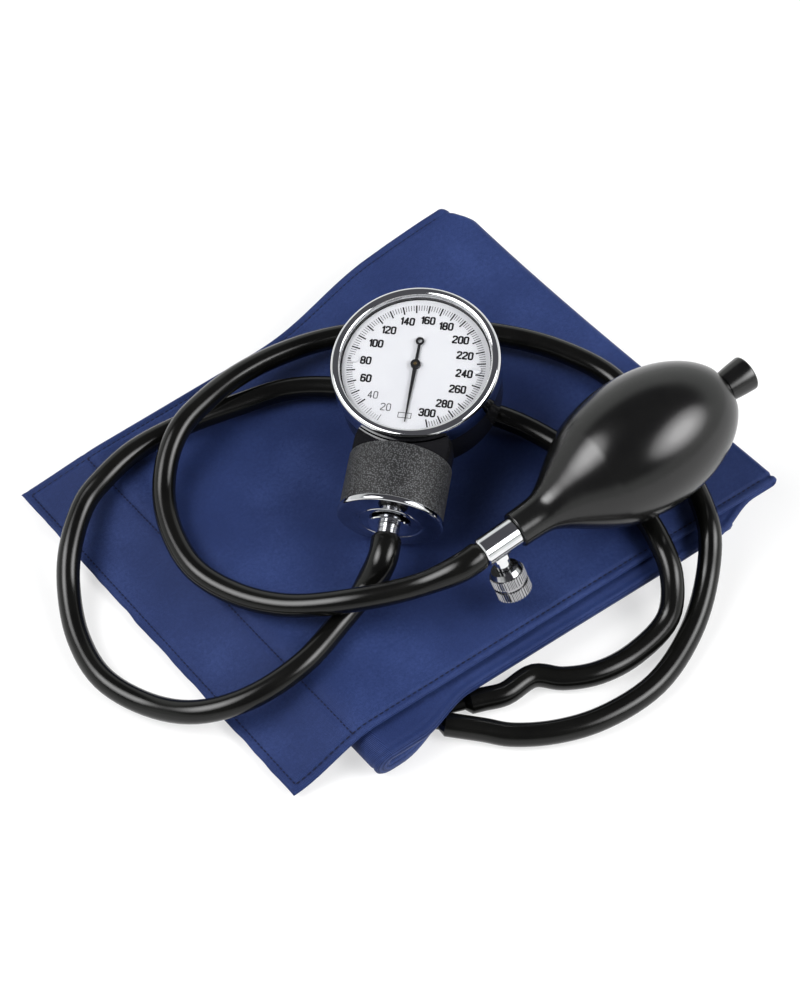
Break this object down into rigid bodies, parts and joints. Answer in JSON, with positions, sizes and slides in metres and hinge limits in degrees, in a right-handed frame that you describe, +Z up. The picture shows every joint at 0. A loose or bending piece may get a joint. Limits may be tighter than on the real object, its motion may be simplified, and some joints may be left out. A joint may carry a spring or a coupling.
{
  "type": "aneroid sphygmomanometer",
  "caption": "Aneroid blood pressure set: folded navy arm cuff with bladder, round pressure gauge, squeeze bulb with release valve, and two rubber hoses.",
  "frame": {"origin": "centre of the footprint of the cuff, gauge and bulb, on the table surface that the folded cuff lies on", "axes": "+Z up from the table; +Y away from the viewer of the usual view, towards the cuff's raised back corner; +X towards the bulb"},
  "size_m": [0.2496, 0.2224, 0.0683],
  "materials": {
    "nylon": "woven navy nylon",
    "rubber": "smooth moulded black rubber",
    "patch": "black hook and loop tape",
    "case_black": "glossy black lacquer",
    "sleeve": "grained dark grey grip",
    "chrome": "bright plated",
    "steel": "plain machined",
    "brass": "plain machined brass",
    "dial": "white printed dial",
    "pointer_black": "black painted",
    "clear": "clear domeless lens"
  },
  "bodies": {
    "set_body": {"cuff_cover": "nylon", "cuff_bladder": "rubber", "hook_patch": "patch", "loop_patch": "patch", "gauge_hose": "rubber", "bulb_hose": "rubber", "gauge_case": "case_black", "bezel": "chrome", "lens": "clear", "lens_gasket": "rubber", "dial_plate": "dial", "dial_screws": "steel", "hairspring": "brass", "movement_bottom_plate": "brass", "movement_top_plate": "brass", "plate_pillars": "brass", "plate_screws": "steel", "pressure_capsule": "brass", "neck_sleeve": "sleeve", "base_cap": "chrome", "gauge_nipple": "chrome", "bulb": "rubber", "valve_body": "chrome", "outlet_seat": "chrome", "valve_o_ring": "rubber", "inlet_insert": "chrome", "inlet_screen": "steel"},
    "pointer_assembly": {"pointer": "pointer_black", "pinion_arbor": "brass"},
    "sector": {"sector_gear": "brass"},
    "rod": {"push_rod": "steel"},
    "needle": {"release_needle": "chrome"},
    "knob": {"release_knob": "chrome"},
    "outlet_ball_body": {"outlet_ball": "steel"},
    "inlet_ball_body": {"inlet_ball": "steel"}
  },
  "joints": [
    {"name": "sector_turn", "type": "hinge", "parent": "set_body", "child": "sector", "pos_m": [0.00056, 0.00616, 0.03566], "axis": [-0.1189, -0.1625, 0.9795], "range_deg": [0, 28.33]},
    {"name": "pointer_turn", "type": "hinge", "parent": "set_body", "child": "pointer_assembly", "pos_m": [0.00682, 0.02011, 0.0418], "axis": [-0.1189, -0.1625, 0.9795], "range_deg": [-340, 0]},
    {"name": "push_rod_slide", "type": "slide", "parent": "set_body", "child": "rod", "axis": [0.172, 0.9682, 0.1815], "range_m": [0, 0.00196], "stiffness_N_per_m": 4000},
    {"name": "knob_turn", "type": "hinge", "parent": "needle", "child": "knob", "pos_m": [0.03, -0.04443, 0.03943], "axis": [0.3551, -0.3229, -0.8773], "range_deg": [0, 720]},
    {"name": "needle_slide", "type": "slide", "parent": "set_body", "child": "needle", "axis": [0.3551, -0.3229, -0.8773], "range_m": [0, 0.0014]},
    {"name": "outlet_ball_slide", "type": "slide", "parent": "set_body", "child": "outlet_ball_body", "axis": [0.8069, 0.5798, 0.1132], "range_m": [0, 0.001]},
    {"name": "inlet_ball_slide", "type": "slide", "parent": "set_body", "child": "inlet_ball_body", "axis": [0.8069, 0.5798, 0.1132], "range_m": [0, 0.001]}
  ],
  "couplings": [
    {"joint": "sector_turn", "follows": "push_rod_slide", "rad_per_m": 252.3},
    {"joint": "pointer_turn", "follows": "push_rod_slide", "rad_per_m": -3027.6},
    {"joint": "knob_turn", "follows": "needle_slide", "rad_per_m": 8976}
  ]
}
